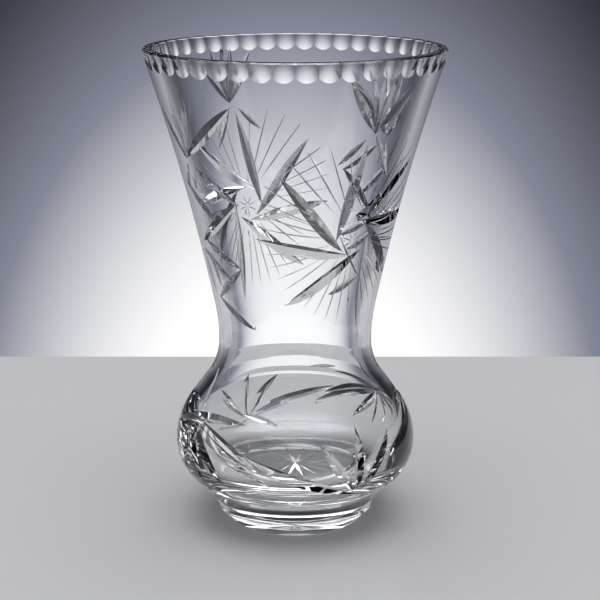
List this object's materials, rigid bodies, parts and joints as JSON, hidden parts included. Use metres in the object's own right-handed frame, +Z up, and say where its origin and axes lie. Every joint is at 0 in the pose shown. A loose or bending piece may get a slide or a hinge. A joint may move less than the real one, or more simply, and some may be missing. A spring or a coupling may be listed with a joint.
{
  "type": "cut crystal vase",
  "caption": "Heavy clear glass vase with a flared mouth, narrow neck and round bulb, wheel-cut with pinwheels, fans and sweeping leaves, for holding cut flowers.",
  "frame": {"origin": "centre of the flat ring that the foot rests on, at the table's surface", "axes": "+Z up along the vase's axis; -Y is the front, 33 degrees short of the first pinwheel's hub; +X is to the right of the front"},
  "size_m": [0.1536, 0.1536, 0.25],
  "materials": {
    "crystal": "polished clear crystal, with polished wheel cuts"
  },
  "bodies": {
    "root": {"vase_body": "crystal"}
  },
  "joints": []
}
